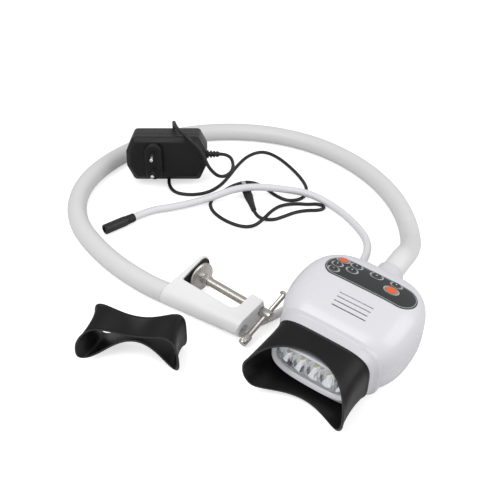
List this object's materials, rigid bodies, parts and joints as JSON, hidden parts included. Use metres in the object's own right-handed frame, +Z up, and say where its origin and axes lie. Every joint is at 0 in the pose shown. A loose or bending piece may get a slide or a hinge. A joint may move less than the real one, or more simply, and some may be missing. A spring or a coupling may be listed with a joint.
{
  "type": "teeth whitening lamp",
  "caption": "Table-clamp teeth whitening lamp: gooseneck arm, lamp head with keys and rubber mouth shield, leads, mains adapter and a spare shield.",
  "frame": {"origin": "middle of the underside of the whole layout as it lies on a table, leads not counted", "axes": "+Z up from the table, +Y away from the viewer, +X to the right as the mouth shield faces the viewer"},
  "size_m": [0.3654, 0.4966, 0.0825],
  "materials": {
    "clamp_paint": "smooth white enamel over a casting",
    "pad_rubber": "black rubber sheet",
    "screw_nickel": "bright nickel plate with turned marks",
    "nut_chrome": "bright plate",
    "arm_sleeve": "satin white plastic sleeve",
    "collar_plastic": "satin light grey plastic",
    "head_plastic": "gloss white plastic with a lilac tint",
    "nose_plastic": "gloss pale grey plastic",
    "panel_film": "dark grey gloss film",
    "key_grey": "grey key cap",
    "key_orange": "orange key cap",
    "board_green": "green circuit board",
    "switch_black": "black switch body",
    "window_white": "white window ring",
    "window_clear": "clear window",
    "reflector_chrome": "mirror plated cups",
    "lamp_board": "white lamp board",
    "lamp_chip": "pale yellow lamp chip",
    "sink_aluminium": "plain extruded",
    "screw_steel": "plain screw",
    "shield_rubber": "soft black rubber, slightly dusty",
    "adapter_black": "black spark finish",
    "pin_nickel": "bright pin",
    "lead_white": "white soft jacket",
    "lead_black": "black soft jacket",
    "plug_black": "black moulded grip",
    "contact_brass": "plated contact"
  },
  "bodies": {
    "clamp": {"clamp_frame": "clamp_paint", "jaw_pad": "pad_rubber", "spare_mouth_shield": "shield_rubber", "adapter_front_shell": "adapter_black", "adapter_back_shell": "adapter_black", "adapter_plug_block": "adapter_black", "mains_pins": "pin_nickel", "adapter_board": "board_green", "adapter_strain_relief": "lead_black", "lamp_lead": "lead_white", "lead_socket": "plug_black", "socket_contact": "contact_brass", "adapter_lead": "lead_black", "plug_body": "plug_black", "plug_barrel": "pin_nickel"},
    "disc": {"pressure_disc": "screw_nickel"},
    "screw": {"clamp_screw": "screw_nickel", "disc_nut": "nut_chrome"},
    "bar": {"tommy_bar": "screw_nickel", "bar_end_knob": "screw_nickel"},
    "arm_lower": {"gooseneck_lower": "arm_sleeve"},
    "arm_left": {"gooseneck_left": "arm_sleeve"},
    "arm_top": {"gooseneck_top": "arm_sleeve"},
    "arm_right": {"gooseneck_right": "arm_sleeve"},
    "arm_end": {"gooseneck_end": "arm_sleeve"},
    "head": {"head_collar": "collar_plastic", "head_top_shell": "head_plastic", "head_bottom_shell": "head_plastic", "shell_screws": "screw_steel", "key_panel": "panel_film", "control_board": "board_green", "tact_switches": "switch_black", "head_nose": "nose_plastic", "light_window_ring": "window_white", "window_lens": "window_clear", "light_reflector": "reflector_chrome", "led_board": "lamp_board", "lamp_chips": "lamp_chip", "heat_sink": "sink_aluminium"},
    "shield": {"mouth_shield": "shield_rubber"},
    "power_key": {"power_key": "key_orange"},
    "mode_key": {"mode_key": "key_grey"},
    "timer_down_key": {"timer_down_key": "key_grey"},
    "timer_up_key": {"timer_up_key": "key_grey"},
    "level_key": {"level_key": "key_grey"},
    "pause_key": {"pause_key": "key_grey"},
    "light_key": {"light_key": "key_grey"},
    "start_key": {"start_key": "key_orange"}
  },
  "joints": [
    {"name": "disc_slide", "type": "slide", "parent": "clamp", "child": "disc", "axis": [0.7431, -0.6691, 0], "range_m": [-0.00063, 0.00875]},
    {"name": "screw_turn", "type": "hinge", "parent": "disc", "child": "screw", "pos_m": [-0.0331, -0.05795, 0.01695], "axis": [0.7431, -0.6691, 0], "range_deg": [-181, 2521]},
    {"name": "bar_slide", "type": "slide", "parent": "screw", "child": "bar", "axis": [0.6288, 0.6983, 0.342], "range_m": [0, 0.016]},
    {"name": "arm_swivel", "type": "hinge", "parent": "clamp", "child": "arm_lower", "pos_m": [-0.06498, -0.07348, 0.00996], "axis": [0.7431, -0.6691, 0], "range_deg": [0, 90]},
    {"name": "arm_swing_left", "type": "hinge", "parent": "arm_lower", "child": "arm_left", "pos_m": [-0.15474, 0.02195, 0.01001], "axis": [0, 0, 1], "range_deg": [0, 8]},
    {"name": "arm_lift_top", "type": "hinge", "parent": "arm_left", "child": "arm_top", "pos_m": [-0.0315, 0.23746, 0.01001], "axis": [0.1011, -0.9949, 0], "range_deg": [0, 25]},
    {"name": "arm_swing_right", "type": "hinge", "parent": "arm_top", "child": "arm_right", "pos_m": [0.10664, 0.18921, 0.01001], "axis": [0, 0, 1], "range_deg": [0, 25]},
    {"name": "arm_lift_end", "type": "hinge", "parent": "arm_right", "child": "arm_end", "pos_m": [0.17275, 0.0308, 0.01001], "axis": [-1, 0.007, 0], "range_deg": [0, 25]},
    {"name": "head_nod", "type": "hinge", "parent": "arm_end", "child": "head", "pos_m": [0.13644, -0.09074, 0.05066], "axis": [-0.8192, 0.5642, 0.1032], "range_deg": [0, 25]},
    {"name": "shield_pull", "type": "slide", "parent": "head", "child": "shield", "axis": [-0.5736, -0.8041, -0.1564], "range_m": [0, 0.06]},
    {"name": "power_key_press", "type": "slide", "parent": "head", "child": "power_key", "axis": [0.0053, 0.1874, -0.9823], "range_m": [0, 0.0005], "stiffness_N_per_m": 600, "springref_m": -0.0005},
    {"name": "mode_key_press", "type": "slide", "parent": "head", "child": "mode_key", "axis": [0.0053, 0.1874, -0.9823], "range_m": [0, 0.0005], "stiffness_N_per_m": 600, "springref_m": -0.0005},
    {"name": "timer_down_key_press", "type": "slide", "parent": "head", "child": "timer_down_key", "axis": [0.0053, 0.1874, -0.9823], "range_m": [0, 0.0005], "stiffness_N_per_m": 600, "springref_m": -0.0005},
    {"name": "timer_up_key_press", "type": "slide", "parent": "head", "child": "timer_up_key", "axis": [0.0053, 0.1874, -0.9823], "range_m": [0, 0.0005], "stiffness_N_per_m": 600, "springref_m": -0.0005},
    {"name": "level_key_press", "type": "slide", "parent": "head", "child": "level_key", "axis": [0.0053, 0.1874, -0.9823], "range_m": [0, 0.0005], "stiffness_N_per_m": 600, "springref_m": -0.0005},
    {"name": "pause_key_press", "type": "slide", "parent": "head", "child": "pause_key", "axis": [0.0053, 0.1874, -0.9823], "range_m": [0, 0.0005], "stiffness_N_per_m": 600, "springref_m": -0.0005},
    {"name": "light_key_press", "type": "slide", "parent": "head", "child": "light_key", "axis": [0.0053, 0.1874, -0.9823], "range_m": [0, 0.0005], "stiffness_N_per_m": 600, "springref_m": -0.0005},
    {"name": "start_key_press", "type": "slide", "parent": "head", "child": "start_key", "axis": [0.0053, 0.1874, -0.9823], "range_m": [0, 0.0005], "stiffness_N_per_m": 600, "springref_m": -0.0005}
  ],
  "couplings": [
    {"joint": "screw_turn", "follows": "disc_slide", "rad_per_m": 5026.5}
  ]
}
